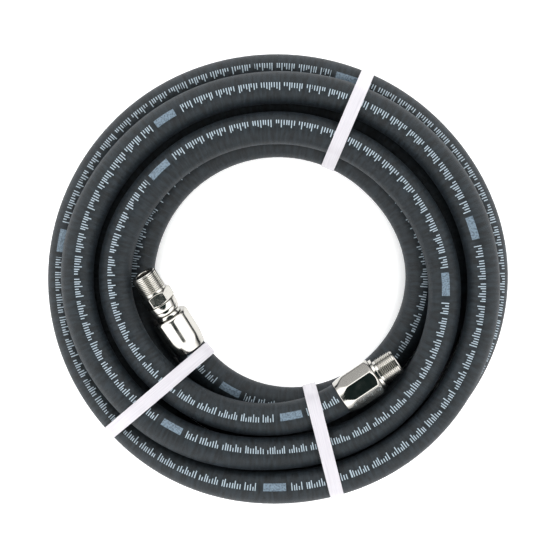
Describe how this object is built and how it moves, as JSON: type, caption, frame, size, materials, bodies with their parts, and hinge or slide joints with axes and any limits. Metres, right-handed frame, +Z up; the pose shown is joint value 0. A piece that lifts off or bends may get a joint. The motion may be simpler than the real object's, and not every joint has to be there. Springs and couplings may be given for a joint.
{
  "type": "farm hose",
  "caption": "Coiled rubber fuel hose in two layers, bound with flat straps, with a rigid and a swivel male pipe fitting.",
  "frame": {"origin": "centre of the coil's outline on the floor it lies on", "axes": "+Z up through the coil's hole, +Y towards the far side of the picture, +X to its right"},
  "size_m": [0.4442, 0.4306, 0.07],
  "materials": {
    "cover_rubber": "matte wrapped cover with a fine cross ripple",
    "plated_metal": "bright nickel plating on machined steel",
    "strap_plastic": "smooth white polypropylene strapping"
  },
  "bodies": {
    "coil": {"hose": "cover_rubber", "fixed_ferrule": "plated_metal", "fixed_nipple": "plated_metal", "swivel_ferrule": "plated_metal", "swivel_stem": "plated_metal", "strap_upper_right": "strap_plastic", "strap_lower_left": "strap_plastic", "strap_lower_right": "strap_plastic"},
    "swivel_end": {"swivel_nipple": "plated_metal"}
  },
  "joints": [
    {"name": "swivel_turn", "type": "hinge", "parent": "coil", "child": "swivel_end", "pos_m": [-0.1281, 0.00277, 0.05181], "axis": [-0.5006, 0.8234, 0.2672], "continuous": true}
  ]
}
